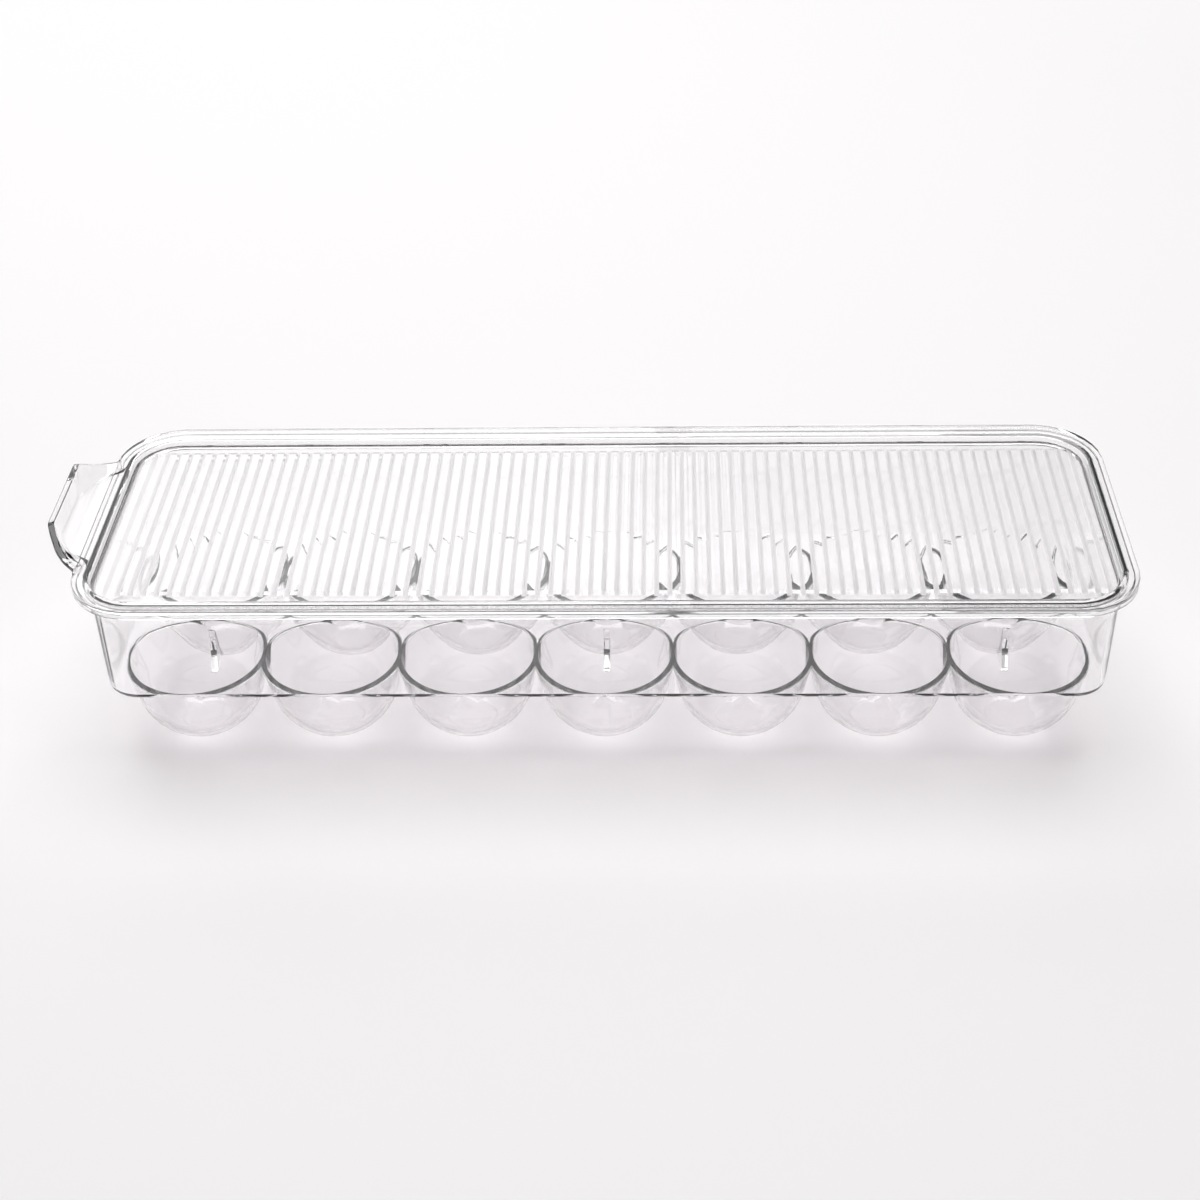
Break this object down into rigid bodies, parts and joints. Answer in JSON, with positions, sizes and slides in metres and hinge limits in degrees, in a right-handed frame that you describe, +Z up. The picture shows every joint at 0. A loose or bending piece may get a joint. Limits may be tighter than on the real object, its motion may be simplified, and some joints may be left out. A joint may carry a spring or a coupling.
{
  "type": "egg holder",
  "caption": "Clear plastic egg holder: a long tray with two rows of round egg cups, a stepped rim with a raised pull handle at one end, and a lift-off lid with crosswise ribs.",
  "frame": {"origin": "middle of the whole outline, handle included, on the surface the holder stands on", "axes": "+X along the rows of cups away from the pull handle, +Y across the rows, +Z up; the tray and lid mirror across Y = 0"},
  "size_m": [0.3526, 0.111, 0.0782],
  "materials": {
    "tray_plastic": "clear, polished, smooth",
    "lid_plastic": "clear, polished, ribbed on top"
  },
  "bodies": {
    "tray": {"cup_front_1": "tray_plastic", "cup_front_2": "tray_plastic", "cup_front_3": "tray_plastic", "cup_front_4": "tray_plastic", "cup_front_5": "tray_plastic", "cup_front_6": "tray_plastic", "cup_front_7": "tray_plastic", "cup_back_1": "tray_plastic", "cup_back_2": "tray_plastic", "cup_back_3": "tray_plastic", "cup_back_4": "tray_plastic", "cup_back_5": "tray_plastic", "cup_back_6": "tray_plastic", "cup_back_7": "tray_plastic", "wall_front": "tray_plastic", "wall_back": "tray_plastic", "wall_handle_end": "tray_plastic", "wall_far_end": "tray_plastic", "pull_handle": "tray_plastic"},
    "lid": {"lid": "lid_plastic"}
  },
  "joints": [
    {"name": "lid_lift", "type": "slide", "parent": "tray", "child": "lid", "axis": [0, 0, 1], "range_m": [0, 0.06]}
  ]
}
